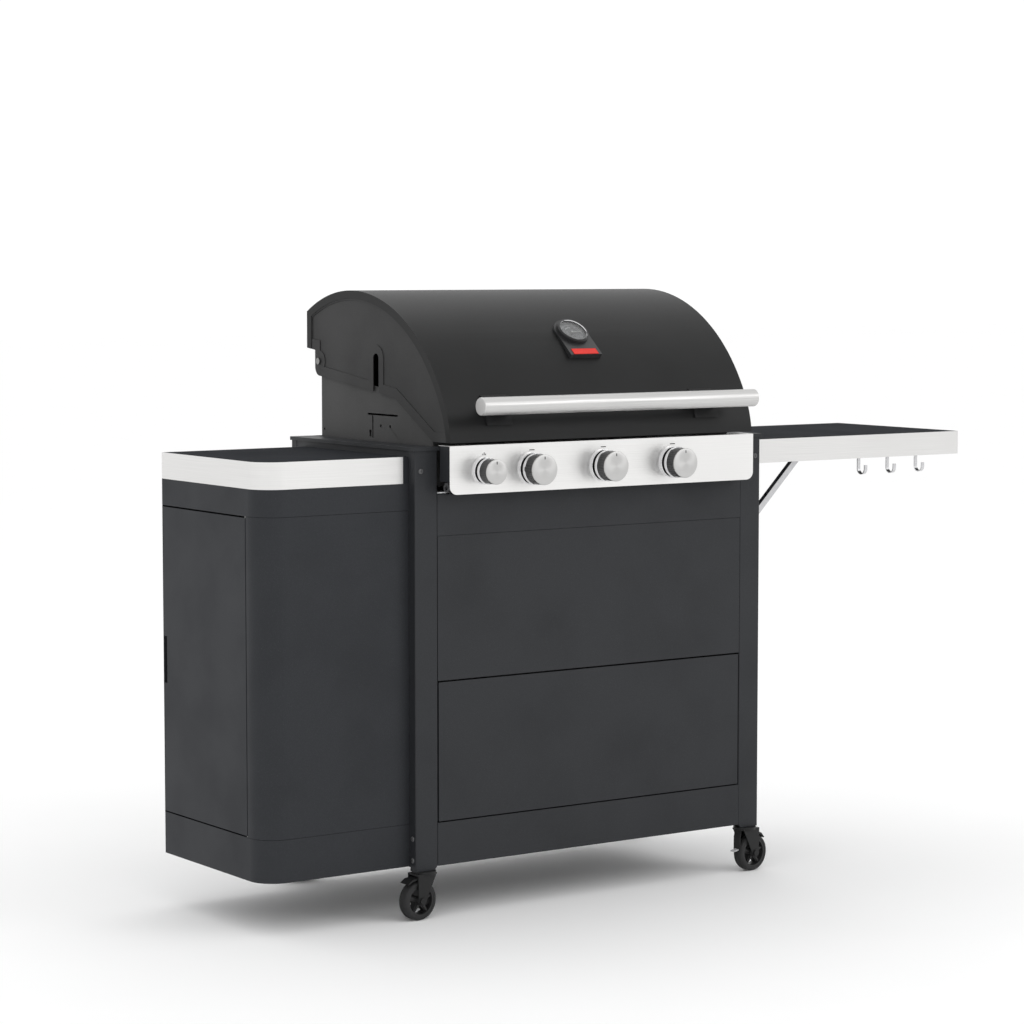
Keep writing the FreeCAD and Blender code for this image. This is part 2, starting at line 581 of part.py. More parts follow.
def gauge():
    """Bimetal gauge: housing with a tongue below the dial, dial with its probe, needle and window."""
    tongue, collar = 64.0, 33.0
    plate = Part.makeCylinder(GAUGE_R, 12.5, V(0, 0, -8)).fuse(
        Part.makeBox(2 * GAUGE_R - 2, tongue, 12.5, V(1 - GAUGE_R, -tongue, -8)))
    plate = plate.fuse(Part.makeCylinder(collar, 11))
    plate = plate.cut(Part.makeCylinder(DIAL_R, 20, V(0, 0, 3))).cut(Part.makeCylinder(3.2, 20, V(0, 0, -10)))
    hood = hood_block(hood_face(0), 0, CART_W)
    save("gauge_housing", gauge_place(plate).cut(hood).removeSplitter())
    dial = Part.makeCylinder(DIAL_R - 0.1, 1, V(0, 0, 3)).fuse(Part.makeCylinder(3, 60, V(0, 0, -57)))
    ring = Part.makeCylinder(31, 1.6, V(0, 0, 11)).cut(Part.makeCylinder(28, 1.6, V(0, 0, 11)))
    save("gauge_dial", gauge_place(dial), gauge_place(ring))
    needle = Part.makeCylinder(2.6, 1.6, V(0, 0, 4.6)).fuse(Part.makeBox(23, 1.6, 0.8, V(-1.5, -0.8, 5)))
    needle.rotate(V(0, 0, 0), V(0, 0, 1), NEEDLE_COLD)
    save("gauge_needle", gauge_place(needle))
    window = Part.makeCylinder(DIAL_R - 0.1, 1.5, V(0, 0, 8.5))
    save("gauge_glass", gauge_place(window))


# ---------------------------------------------------------------- bottle cabinet

def footprint(z, inset=0.0, right=SHEET, rear=CAB_REAR):
    """Cabinet plan with its one rounded corner, drawn in by a wall thickness."""
    block = box((CAB_LEFT + inset, right), (CAB_FRONT + inset, rear), z)
    corner = upright_edges(block, lambda p: p.x < CAB_LEFT + inset + 1 and p.y < CAB_FRONT + inset + 1)
    return block.makeFillet(CORNER_R - inset, corner)


def wrap(z, **limits):
    """Open-backed sheet that follows the cabinet's front, corner and left side."""
    return footprint(z, **limits).cut(footprint(z, inset=SHEET, **limits))


def cabinet_panels():
    """Top strip, corner panel, plinth, back and floor."""
    rear = CAB_REAR - SHEET
    seam = 0.6
    strip = wrap((DOOR_TOP + seam, BAND_LOW), rear=rear)
    corner = wrap((DOOR_LOW + seam, DOOR_TOP), rear=rear).common(box((CAB_LEFT, SHEET), (0, DOOR_FRONT), (0, CAB_TOP)))
    plinth = wrap((CAB_LOW, DOOR_LOW), rear=rear)
    back = box((CAB_LEFT, SHEET), (rear, CAB_REAR), (CAB_LOW, BAND_LOW))
    floor = footprint((CAB_LOW, CAB_LOW + SHEET), inset=SHEET, rear=rear)
    lug = box((CAB_LEFT + SHEET, CAB_LEFT + 16), (DOOR_FRONT - 2, DOOR_FRONT + 16), (0, SHEET))
    x, y = DOOR_PIVOT
    lugs = []
    for z in (DOOR_LOW - SHEET, DOOR_TOP + seam):
        at = lug.copy()
        at.translate(V(0, 0, z))
        lugs.append(at.cut(rod(x, y, z, "z", 2, SHEET)))
    save("cabinet_panels", strip.fuse(lugs[1]), corner, plinth.fuse(lugs[0]), back, floor)


def cabinet_door():
    """Tray-shaped side door, hung on pins at its front edge, with a finger notch at its rear edge."""
    x = (CAB_LEFT, CAB_LEFT + DOOR_DEPTH)
    y = (DOOR_FRONT + DOOR_GAP, CAB_REAR - SHEET - 1)
    z = (DOOR_LOW + DOOR_GAP, DOOR_TOP - DOOR_GAP)
    door = pan(x, y, z, "+x")
    middle = (z[0] + z[1]) / 2
    door = door.cut(box(x, (y[1] - 12, y[1]), (middle - 45, middle + 45)))
    for at in (z[0], z[1] - SHEET):
        door = door.cut(rod(*DOOR_PIVOT, at - 1, "z", 2 + RUN_FIT, SHEET + 2))
    save("cabinet_door", door)


def worktop():
    band_end = -11.0
    z = (BAND_LOW, CAB_TOP)
    band = footprint(z, right=band_end).cut(footprint(z, inset=SHEET, right=band_end, rear=CAB_REAR - SHEET))
    save("worktop_band", band)
    rear = CAB_REAR - SHEET
    top = footprint(z, inset=SHEET, rear=rear)
    top = top.cut(footprint((z[0], z[1] - SHEET), inset=2 * SHEET, rear=rear - SHEET, right=0))
    save("worktop", top)


# ---------------------------------------------------------------- fold-down table

def table_top():
    """Tray-shaped table with hinge ears and strut cleats, and the steel band round it."""
    x, y, z = (TABLE_LEFT, TABLE_RIGHT), (TABLE_FRONT, TABLE_REAR), (TABLE_LOW, TABLE_TOP)
    block = box(x, y, z)
    right = upright_edges(block, lambda p: p.x > TABLE_RIGHT - 1)
    block = block.makeFillet(5, right)
    core = box((x[0], x[1] - SHEET), (y[0] + SHEET, y[1] - SHEET), z)
    core = core.makeFillet(5 - SHEET, upright_edges(core, lambda p: p.x > TABLE_RIGHT - 3))
    save("table_band", block.cut(core))
    hollow = box((x[0] - 1, x[1] - 2 * SHEET), (y[0] + 2 * SHEET, y[1] - 2 * SHEET), (z[0], z[1] - SHEET))
    top = core.cut(hollow)
    px, pz = TABLE_PIVOT
    under = TABLE_TOP - SHEET
    rod_x = px + STRUT_DROP
    for y0 in (60.0, TABLE_REAR + TABLE_FRONT - 64.0):
        ear = box((px - 5, px + 27), (y0, y0 + 4), (pz, under)).fuse(rod(px, y0, pz, "y", 5, 4))
        top = top.fuse(ear).cut(rod(px, y0, pz, "y", 4 + RUN_FIT, 4))
        top = top.fuse(box((rod_x - 13, rod_x + 13), (y0 - 4, y0 + 12), (pz + 7, under)))
    save("table_top", top.removeSplitter())


def bracket(z_pivot, offset):
    """Rail between the right legs, with a plate, two ears and their pins, for the table or for its strut."""
    px = TABLE_PIVOT[0]
    wall = CART_W - 1
    z = (z_pivot - 12, z_pivot + 12)
    plate = box((wall, wall + 2), (34, 402), z).fuse(pan((wall - 20, wall), (LEG_D, CART_D - LEG_D), z, "-x"))
    for near, far in offset:
        ear = box((wall, px + 4), (near, near + 3), (z_pivot - 6, z_pivot + 6)).fuse(rod(px, near, z_pivot, "y", 6, 3))
        pin = rod(px, min(near, far), z_pivot, "y", 4, abs(far - near) + 3)
        plate = plate.fuse(ear).fuse(pin)
    return plate.removeSplitter()


def table_brackets():
    mirror_y = TABLE_REAR + TABLE_FRONT
    hinge = bracket(TABLE_PIVOT[1], ((55, 64), (mirror_y - 58, mirror_y - 67)))
    ear, pin_end = STRUT_Y - 5, STRUT_Y
    foot = bracket(TABLE_PIVOT[1] - STRUT_DROP, ((ear, pin_end), (mirror_y - ear - 3, mirror_y - pin_end - 3)))
    save("table_brackets", hinge, foot)


def table_strut():
    """Pair of angle-section bars joined by a cross rod, leaning at 45 degrees under the table."""
    px, pz = TABLE_PIVOT[0], TABLE_PIVOT[1] - STRUT_DROP
    length = STRUT_DROP * math.sqrt(2)
    half = 6.0
    mirror_y = TABLE_REAR + TABLE_FRONT
    frame = None
    for near in (STRUT_Y, mirror_y - STRUT_Y - SHEET):
        web = box((px - half, px + half), (near, near + SHEET), (pz, pz + length))
        web = web.fuse(rod(px, near, pz, "y", half, SHEET)).fuse(rod(px, near, pz + length, "y", half, SHEET))
        inward = (near, near + 12) if near < 200 else (near - 12 + SHEET, near + SHEET)
        lip = box((px - half, px - half + SHEET), inward, (pz + 14, pz + length - 6))
        bar = web.fuse(lip).cut(rod(px, near, pz, "y", 4 + RUN_FIT, SHEET))
        frame = bar if frame is None else frame.fuse(bar)
    frame = frame.fuse(rod(px, STRUT_Y - 1, pz + length, "y", 5, mirror_y - 2 * (STRUT_Y - 1)))
    frame = frame.removeSplitter()
    frame.rotate(V(px, 0, pz), V(0, 1, 0), 45)
    save("table_strut", frame)


def hook(x):
    """Strip bent into a J that opens to the front, hanging from the table's underside."""
    width, thick, bend, stem = 8.0, 2.0, 12.0, TABLE_LOW - 806.0
    y = 45.0
    low = TABLE_LOW - stem
    upright = box((x, x + width), (y, y + thick), (low, TABLE_LOW + 18))
    curl = pipe(x, y + thick - bend, low, "x", bend, bend - thick, width)
    curl = curl.cut(box((x, x + width), (y - 40, y + 40), (low, low + 40)))
    tip = box((x, x + width), (y + thick - 2 * bend, y + 2 * thick - 2 * bend), (low, low + 8))
    pad = box((x, x + width), (TABLE_FRONT + 2 * SHEET, y), (TABLE_LOW + 16, TABLE_LOW + 18))
    return upright.fuse(curl).fuse(tip).fuse(pad).removeSplitter()


def table_hooks():
    save("table_hooks", *[hook(x) for x in (1126.0, 1205.5, 1285.0)])


# ---------------------------------------------------------------- casters

PAD_Z = 89.0
CROWN_Z = (86.0, 88.7)


def caster_mounts():
    """Plug in each leg's foot, pad below it and the kingpin with its head."""
    made = []
    for x, y, _ in CASTERS.values():
        plug = box((x - 16, x + 16), (y - 8.4, y + 8.4), (LEG_FOOT, LEG_FOOT + 24))
        pad = rod(x, y, PAD_Z, "z", 23, LEG_FOOT - PAD_Z)
        pin = rod(x, y, CROWN_Z[0] - 0.3, "z", 5, PAD_Z - CROWN_Z[0] + 0.3)
        head = rod(x, y, CROWN_Z[0] - 3.3, "z", 8, 3)
        made.append(plug.fuse(pad).fuse(pin).fuse(head).removeSplitter())
    save("caster_mounts", *made)


def in_place(solid, x, y, heading):
    """Turn a solid made about a caster's own swivel axis, trailing along +x, to its heading."""
    solid = solid.copy()
    solid.rotate(V(0, 0, 0), V(0, 0, 1), heading)
    solid.translate(V(x, y, 0))
    return solid


def fork():
    """Pressed fork: crown, two tapering cheeks and the axle bolt."""
    z_axle = WHEEL_R
    crown = Part.makeCylinder(22, CROWN_Z[1] - CROWN_Z[0], V(0, 0, CROWN_Z[0]))
    crown = crown.fuse(box((-18, 26), (-16.5, 16.5), CROWN_Z))
    cheeks = []
    for y0 in (-16.5, 14.0):
        outline = [(-18, CROWN_Z[1]), (26, CROWN_Z[1]), (TRAIL + 9, z_axle), (TRAIL - 9, z_axle)]
        cheek = polygon_y(outline, y0, y0 + 2.5).fuse(rod(TRAIL, y0, z_axle, "y", 9, 2.5))
        cheeks.append(cheek.cut(rod(TRAIL, y0, z_axle, "y", AXLE_R, 2.5)))
    crown = crown.fuse(cheeks[0]).fuse(cheeks[1]).cut(rod(0, 0, 80, "z", 5 + RUN_FIT, 12))
    axle = rod(TRAIL, -16.5, z_axle, "y", AXLE_R, 33)
    heads = [rod(TRAIL, at, z_axle, "y", 6.5, 3) for at in (-19.5, 16.5)]
    return crown.removeSplitter(), axle.fuse(heads[0]).fuse(heads[1]).removeSplitter()


def wheel():
    """Tyre with rounded shoulders on a five-spoke hub."""
    half = WHEEL_W / 2
    rim_r, tread = 30.0, 5.0
    tyre = rod(TRAIL, -half, WHEEL_R, "y", WHEEL_R, WHEEL_W)
    tyre = tyre.makeFillet(tread, [edge for edge in tyre.Edges if abs(edge.Length - 2 * math.pi * WHEEL_R) < 1e-3])
    tyre = tyre.cut(rod(TRAIL, -half, WHEEL_R, "y", rim_r, WHEEL_W))
    hub = pipe(TRAIL, -half + 1, WHEEL_R, "y", rim_r, rim_r - 4, WHEEL_W - 2)
    hub = hub.fuse(rod(TRAIL, -13.5, WHEEL_R, "y", 9, 27))
    for index in range(5):
        spoke = box((-3.5, 3.5), (-7, 7), (6, rim_r - 2))
        spoke.rotate(V(0, 0, 0), V(0, 1, 0), 72 * index)
        spoke.translate(V(TRAIL, 0, WHEEL_R))
        hub = hub.fuse(spoke)
    hub = hub.cut(rod(TRAIL, -14, WHEEL_R, "y", AXLE_R + RUN_FIT, 28))
    return tyre, hub.removeSplitter()


PEDAL_PIVOT = (21.0, 80.0)
PEDAL_DOWN = {"front_left": 0.0, "front_right": 15.0}


def pedal(down):
    """Brake pedal: hub between the cheeks and a bent treadle that comes down on the tyre."""
    x, z = PEDAL_PIVOT
    hub = rod(x, -12.5, z, "y", 2.6, 25)
    bend = [(0, 2.6), (17, -0.5), (26.5, -7.5), (24.4, -8.9), (15.5, -4), (0, -1)]
    tread = polygon_y([(x + out, z + up) for out, up in bend], -12.5, 12.5)
    lever = hub.fuse(tread).cut(rod(x, -14, z, "y", 1.5 + RUN_FIT, 28)).removeSplitter()
    lever.rotate(V(x, 0, z), V(0, 1, 0), down)
    return lever


def casters():
    for place, (x, y, heading) in CASTERS.items():
        made = list(fork())
        if place in PEDAL_DOWN:
            pin_x, pin_z = PEDAL_PIVOT
            made.append(rod(pin_x, -14, pin_z, "y", 1.5, 28))
            save(f"brake_pedal_{place}", in_place(pedal(PEDAL_DOWN[place]), x, y, heading))
        save(f"caster_fork_{place}", *[in_place(piece, x, y, heading) for piece in made])
        save(f"caster_wheel_{place}", *[in_place(piece, x, y, heading) for piece in wheel()])


def main():
    os.makedirs("parts", exist_ok=True)
    makers = (
        legs, top_rim, cart_panels, base_shelf, front_rails, upper_front_panel, frame_screws,
        drawer, slide_rails, grease_tray, firebox_shell, firebox_ends, burners, flame_tamers, cooking_grates,
        warming_rack, rear_burner, gas_manifold, gas_valves, control_box, control_panel, knob_bezels, knobs,
        hood_shell, hood_caps, hinge_pins, handle, gauge, cabinet_panels, cabinet_door, worktop,
        table_top, table_brackets, table_strut, table_hooks, caster_mounts, casters,
    )
    for make in makers:
        make()


main()
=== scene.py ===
import json
import math

import bmesh
import bpy
from mathutils import Matrix, Vector


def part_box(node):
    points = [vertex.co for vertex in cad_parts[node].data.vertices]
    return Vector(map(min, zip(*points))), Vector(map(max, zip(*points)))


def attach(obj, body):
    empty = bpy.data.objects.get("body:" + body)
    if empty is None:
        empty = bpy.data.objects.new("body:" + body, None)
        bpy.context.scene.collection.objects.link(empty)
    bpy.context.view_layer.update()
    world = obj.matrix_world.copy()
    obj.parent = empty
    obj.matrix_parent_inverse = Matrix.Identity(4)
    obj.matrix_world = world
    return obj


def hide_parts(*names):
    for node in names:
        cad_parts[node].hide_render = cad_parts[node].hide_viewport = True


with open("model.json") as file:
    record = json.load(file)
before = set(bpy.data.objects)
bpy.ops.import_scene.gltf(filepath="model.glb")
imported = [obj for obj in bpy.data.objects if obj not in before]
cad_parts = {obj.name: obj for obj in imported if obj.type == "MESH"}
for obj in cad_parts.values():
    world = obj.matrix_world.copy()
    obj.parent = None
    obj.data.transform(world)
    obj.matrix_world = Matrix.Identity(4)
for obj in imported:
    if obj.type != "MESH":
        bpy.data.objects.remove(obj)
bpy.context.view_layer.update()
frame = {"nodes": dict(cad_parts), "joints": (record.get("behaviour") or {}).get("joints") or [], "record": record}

MM = 0.001
TAU = 2 * math.pi
SLOT_OF = {part["node"]: part["material_slot"] for part in frame["record"]["subparts"]}
JOINT = {joint["name"]: joint for joint in frame["joints"]}


# ---------------------------------------------------------------- material building blocks

class Finish:
    """One procedural material: its shader, and short ways to drive it from object coordinates."""

    def __init__(self, name, colour, roughness, metallic=0.0, **sockets):
        self.material = bpy.data.materials.new(name)
        self.material.use_nodes = True
        self.tree = self.material.node_tree
        self.shader = self.tree.nodes["Principled BSDF"]
        self.colour = colour
        self.set("Base Color", (*colour, 1.0))
        self.set("Roughness", roughness)
        self.set("Metallic", metallic)
        for socket, value in sockets.items():
            self.set(socket.replace("_", " "), value)

    def set(self, socket, value):
        self.shader.inputs[socket].default_value = value

    def link(self, source, socket):
        self.tree.links.new(source, self.shader.inputs[socket])

    def node(self, kind, inputs=(), **settings):
        made = self.tree.nodes.new("ShaderNode" + kind)
        for key, value in settings.items():
            setattr(made, key, value)
        for key, value in dict(inputs).items():
            if isinstance(value, bpy.types.NodeSocket):
                self.tree.links.new(value, made.inputs[key])
            else:
                made.inputs[key].default_value = value
        return made

    def place(self, stretch=(1, 1, 1)):
        """Object coordinates, stretched along the row's axes."""
        where = self.node("TexCoord").outputs["Object"]
        return self.node("Mapping", {"Vector": where, "Scale": stretch}).outputs["Vector"]

    def noise(self, scale, detail=2.0, stretch=(1, 1, 1), vector=None):
        inputs = {"Vector": vector or self.place(stretch), "Scale": scale, "Detail": detail}
        return self.node("TexNoise", inputs).outputs["Fac"]

    def cells(self, scale):
        return self.node("TexVoronoi", {"Vector": self.place(), "Scale": scale}).outputs["Color"]

    def span(self, value, low, high, start=0.3, end=0.7):
        """Map a 0..1 pattern to a range."""
        inputs = {"Value": value, "From Min": start, "From Max": end, "To Min": low, "To Max": high}
        return self.node("MapRange", inputs).outputs["Result"]

    def tint(self, pattern, other, start=0.3, end=0.7, base=None):
        """Blend from the base colour to another by a pattern, and return the result."""
        mix = self.node("Mix", data_type="RGBA")
        self.tree.links.new(self.span(pattern, 0.0, 1.0, start, end), mix.inputs["Factor"])
        first, second = mix.inputs[6], mix.inputs[7]
        if base is None:
            first.default_value = (*self.colour, 1.0)
        else:
            self.tree.links.new(base, first)
        second.default_value = (*other, 1.0)
        self.link(mix.outputs[2], "Base Color")
        return mix.outputs[2]

    def relief(self, height, depth, strength=1.0, below=None):
        """Bump of a real depth in metres."""
        inputs = {"Height": height, "Distance": depth, "Strength": strength}
        if below is not None:
            inputs["Normal"] = below
        normal = self.node("Bump", inputs).outputs["Normal"]
        self.link(normal, "Normal")
        return normal


def scaled(colour, factor):
    return tuple(min(1.0, channel * factor) for channel in colour)


def powder_coat(name, colour, roughness=0.5, grain=1.0, gloss=0.25):
    """Matt powder paint: fine pebbled skin, faint mottling and a few paler specks."""
    made = Finish(name, colour, roughness, Specular_IOR_Level=gloss)
    pebble = made.noise(1100 / grain, 2.0)
    cloud = made.noise(7.0, 3.0)
    base = made.tint(pebble, scaled(colour, 1.3), 0.4, 0.75)
    base = made.tint(cloud, scaled(colour, 0.95), 0.45, 0.75, base)
    made.tint(made.noise(950, 1.0), scaled(colour, 2.0), 0.62, 0.8, base)
    made.link(made.span(cloud, roughness - 0.05, roughness + 0.08), "Roughness")
    made.relief(pebble, 0.00006 * grain, 0.7)
    return made.material


def enamel(name, colour, roughness):
    """Fired enamel on sheet steel: smooth gloss over a faint orange peel, with pinpoint grain."""
    made = Finish(name, colour, roughness, Specular_IOR_Level=0.2, Coat_Weight=0.05, Coat_Roughness=0.3)
    grain = made.noise(1500, 2.0)
    wave = made.noise(90, 2.0)
    base = made.tint(grain, scaled(colour, 1.7), 0.5, 0.8)
    made.tint(made.noise(5.0, 3.0), scaled(colour, 0.8), 0.45, 0.7, base)
    made.link(made.span(grain, roughness - 0.06, roughness + 0.1), "Roughness")
    under = made.relief(wave, 0.00012, 0.35)
    made.relief(grain, 0.00004, 0.6, under)
    return made.material


def brushed(name, colour, stretch, roughness=0.34, streak=0.86, ringed=False):
    """Brushed stainless: long fine scratches across the stretched axes, or rings about the piece's own y."""
    made = Finish(name, colour, roughness, 1.0, Anisotropic=0.35)
    vector = None
    if ringed:
        parts = made.node("SeparateXYZ", {"Vector": made.place()})
        across, up = (made.node("Math", {0: parts.outputs[axis], 1: 2.0}, operation="POWER").outputs[0]
                      for axis in ("X", "Z"))
        total = made.node("Math", {0: across, 1: up}, operation="ADD")
        reach = made.node("Math", {0: total.outputs[0], 1: 0.5}, operation="POWER").outputs[0]
        vector = made.node("CombineXYZ", {"X": reach}).outputs["Vector"]
        tangent = made.node("Tangent", direction_type="RADIAL", axis="Y").outputs["Tangent"]
        made.link(tangent, "Tangent")
        made.set("Anisotropic", 0.7)
    hair = made.noise(2400 if ringed else 1.0, 3.0, stretch, vector)
    base = made.tint(hair, scaled(colour, streak), 0.35, 0.7)
    made.tint(made.noise(4.0, 2.0), scaled(colour, 0.93), 0.4, 0.7, base)
    made.link(made.span(hair, roughness - 0.07, roughness + 0.1), "Roughness")
    made.relief(hair, 0.00003, 0.35)
    return made.material


def plated(name, colour, roughness):
    """Chrome, zinc or turned steel: bright metal with faint swirls and fingerprints in its gloss."""
    made = Finish(name, colour, roughness, 1.0)
    swirl = made.noise(220, 3.0)
    made.tint(swirl, scaled(colour, 0.9), 0.4, 0.7)
    made.link(made.span(made.noise(45, 3.0), roughness * 0.7, roughness * 1.6), "Roughness")
    made.relief(swirl, 0.00002, 0.3)
    return made.material


def spangled(name, colour):
    """Galvanised sheet: flat zinc crystals of slightly different shade and gloss."""
    made = Finish(name, colour, 0.42, 1.0)
    crystal = made.cells(110)
    grey = made.node("RGBToBW", {"Color": crystal}).outputs["Val"]
    base = made.tint(grey, scaled(colour, 0.82), 0.2, 0.8)
    made.tint(made.noise(9.0, 3.0), scaled(colour, 0.85), 0.5, 0.75, base)
    made.link(made.span(grey, 0.33, 0.52, 0.2, 0.8), "Roughness")
    made.relief(made.noise(900), 0.00003, 0.4)
    return made.material


def heated_steel(name, colour):
    """Stainless that has seen flame: straw and blue tints in soft patches."""
    made = Finish(name, colour, 0.4, 1.0)
    base = made.tint(made.noise(26, 3.0), (0.50, 0.38, 0.22), 0.5, 0.68)
    base = made.tint(made.noise(17, 2.0, (1, 1, 2)), (0.22, 0.24, 0.34), 0.56, 0.72, base)
    made.tint(made.noise(300, 2.0), scaled(colour, 0.75), 0.45, 0.75, base)
    made.link(made.span(made.noise(70, 3.0), 0.3, 0.52), "Roughness")
    made.relief(made.noise(600), 0.00004, 0.4)
    return made.material


def cast(name, colour, roughness=0.55, depth=0.0002):
    """Sand-cast and enamelled iron: rounded pits and a dull sheen."""
    made = Finish(name, colour, roughness, Specular_IOR_Level=0.45)
    pit = made.noise(420, 4.0)
    base = made.tint(pit, scaled(colour, 1.6), 0.5, 0.75)
    made.tint(made.noise(40, 3.0), scaled(colour, 0.7), 0.45, 0.7, base)
    made.link(made.span(pit, roughness - 0.12, roughness + 0.12), "Roughness")
    made.relief(pit, depth, 0.7)
    return made.material


def moulded(name, colour, roughness, grain=700, depth=0.00005, **sockets):
    """Moulded plastic or rubber with a spark-eroded skin."""
    made = Finish(name, colour, roughness, **sockets)
    skin = made.noise(grain, 2.0)
    base = made.tint(skin, scaled(colour, 1.35), 0.45, 0.75)
    made.tint(made.noise(30, 3.0), scaled(colour, 0.8), 0.45, 0.7, base)
    made.link(made.span(skin, roughness - 0.07, roughness + 0.08), "Roughness")
    made.relief(skin, depth, 0.7)
    return made.material


def window(name):
    """Clear gauge glass with the faintest dust in its gloss."""
    made = Finish(name, (0.97, 0.98, 0.98), 0.02, Transmission_Weight=1.0, IOR=1.46)
    made.tint(made.noise(60, 2.0), (0.93, 0.95, 0.95), 0.45, 0.75)
    made.link(made.span(made.noise(180, 3.0), 0.01, 0.06), "Roughness")
    made.relief(made.noise(400), 0.000005, 0.2)
    return made.material


ANTHRACITE = (0.0202, 0.0214, 0.0240)
BLACK = (0.012, 0.0122, 0.0125)
STEEL = (0.80, 0.795, 0.785)
ALONG_X = (6, 900, 900)


def finishes():
    """The record's material slots, each with its procedural finish."""
    return {
        "frame_paint": powder_coat("frame_paint", ANTHRACITE),
        "cabinet_paint": powder_coat("cabinet_paint", scaled(ANTHRACITE, 1.28), gloss=0.14),
        "worktop_paint": powder_coat("worktop_paint", scaled(ANTHRACITE, 1.3), 0.85, gloss=0.01),
        "hood_enamel": enamel("hood_enamel", (0.0076, 0.0078, 0.0080), 0.45),
        "hood_cap_paint": powder_coat("hood_cap_paint", (0.032, 0.032, 0.0323), 0.6, 0.8),
        "firebox_enamel": powder_coat("firebox_enamel", (0.052, 0.052, 0.052), 0.6, 0.8),
        "screw_black": powder_coat("screw_black", scaled(BLACK, 6.0), 0.3, 0.5, 0.5),
        "bracket_black": powder_coat("bracket_black", BLACK, 0.4, 0.7),
        "caster_black": powder_coat("caster_black", BLACK, 0.45, 0.6),
        "pedal_black": powder_coat("pedal_black", BLACK, 0.45, 0.8),
        "zinc_sheet": spangled("zinc_sheet", (0.62, 0.63, 0.64)),
        "burner_steel": heated_steel("burner_steel", (0.56, 0.55, 0.53)),
        "grate_iron": cast("grate_iron", (0.020, 0.020, 0.021)),
        "rack_chrome": plated("rack_chrome", (0.72, 0.72, 0.72), 0.16),
        # gas_aluminium: colour held at a dark 0.40 grey instead of light aluminium, painted shade for the shadowed
        # manifold end in the control box
        "gas_aluminium": brushed("gas_aluminium", (0.40, 0.40, 0.41), ALONG_X, 0.42),
        "gas_brass": plated("gas_brass", (0.66, 0.48, 0.20), 0.28),
        "panel_steel": brushed("panel_steel", scaled(STEEL, 1.05), ALONG_X, 0.36, 0.93),
        "bezel_chrome": plated("bezel_chrome", (0.74, 0.74, 0.75), 0.1),
        "screw_steel": plated("screw_steel", (0.26, 0.26, 0.255), 0.34),
        "handle_steel": brushed("handle_steel", scaled(STEEL, 0.78), ALONG_X, 0.4, 0.84),
        "gauge_plastic": moulded("gauge_plastic", (0.02, 0.02, 0.021), 0.38),
        "gauge_face": brushed("gauge_face", (0.16, 0.162, 0.165), (900, 900, 900), 0.45, 0.9),
        "needle_paint": moulded("needle_paint", (0.40, 0.40, 0.39), 0.35, 900),
        "gauge_window": window("gauge_window"),
        "band_steel": brushed("band_steel", scaled(STEEL, 1.0), (6, 6, 900), 0.42, 0.93),
        "strut_steel": plated("strut_steel", (0.54, 0.54, 0.55), 0.32),
        "hook_steel": plated("hook_steel", (0.62, 0.62, 0.63), 0.24),
        "wheel_nylon": moulded("wheel_nylon", (0.009, 0.009, 0.0095), 0.5),
        "knob_steel": brushed("knob_steel", scaled(STEEL, 0.72), (1, 1, 1), 0.36, 0.8, ringed=True),
        "stem_steel": plated("stem_steel", (0.62, 0.61, 0.60), 0.3),
    }


MATERIAL = finishes()
TREAD = moulded("tread_rubber", (0.013, 0.013, 0.0135), 0.75, 500, 0.00012)
GRIP = moulded("knob_grip", (0.010, 0.010, 0.011), 0.42)
MARK = moulded("printed_mark", (0.008, 0.008, 0.009), 0.5)
BADGE = enamel("badge_enamel", (0.78, 0.030, 0.020), 0.3)
WASHED = powder_coat("washed_zinc", (0.42, 0.42, 0.43), 0.5)
# Darker copy of the band steel for the table band: painted shade, the same steel with its colour lowered
SHADED_TABLE_BAND = brushed("table_band_shaded_steel", scaled(STEEL, 0.92), (6, 6, 900), 0.42, 0.93)


# ---------------------------------------------------------------- mesh building blocks

def piece(name, body, bm, materials, place=None, smooth=35.0, bevel=0.0):
    """Turn a bmesh into a shaded piece that rides on a CAD body."""
    bmesh.ops.remove_doubles(bm, verts=bm.verts, dist=1e-6)
    bmesh.ops.recalc_face_normals(bm, faces=bm.faces)
    mesh = bpy.data.meshes.new(name)
    bm.to_mesh(mesh)
    bm.free()
    made = bpy.data.objects.new(name, mesh)
    bpy.context.scene.collection.objects.link(made)
    for material in materials:
        mesh.materials.append(material)
    if place is not None:
        made.matrix_world = place
    mesh.shade_smooth()
    mesh.set_sharp_from_angle(angle=math.radians(smooth))
    if bevel:
        soften(made, bevel)
    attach(made, body)
    return made


def soften(thing, width):
    """Small rounded edges that catch the light."""
    edge = thing.modifiers.new("edges", "BEVEL")
    edge.width = width
    edge.segments = 2
    edge.limit_method = "ANGLE"
    edge.angle_limit = math.radians(40)
    edge.harden_normals = True


def revolve(bm, outline, steps=96, ribs=(0, 0.0)):
    """Lathe (along y, radius, material, ribbed) points about y; ribs ripples the radius of ribbed points."""
    count, depth = ribs
    rings = []
    for along, radius, _, ribbed in outline:
        ring = []
        for step in range(steps):
            turn = TAU * step / steps
            r = radius - (depth * (0.5 - 0.5 * math.cos(count * turn)) if ribbed else 0.0)
            ring.append(bm.verts.new((r * math.cos(turn), along, r * math.sin(turn))))
        rings.append(ring)
    for (near, far), (_, _, index, _) in zip(zip(rings, rings[1:]), outline):
        for step in range(steps):
            ahead = (step + 1) % steps
            face = bm.faces.new((near[step], near[ahead], far[ahead], far[step]))
            face.material_index = index
    return rings


def close(bm, ring, index=0):
    """Cap a ring with a face."""
    bm.faces.new(ring).material_index = index


def block(bm, low, high, index=0, turn=None):
    """Box in a bmesh, optionally turned by a matrix."""
    centre = [(a + b) / 2 for a, b in zip(low, high)]
    size = [b - a for a, b in zip(low, high)]
    matrix = Matrix.Translation(centre) @ Matrix.Diagonal((*size, 1.0))
    made = bmesh.ops.create_cube(bm, size=1.0, matrix=(turn or Matrix.Identity(4)) @ matrix)
    for face in {face for vertex in made["verts"] for face in vertex.link_faces}:
        face.material_index = index


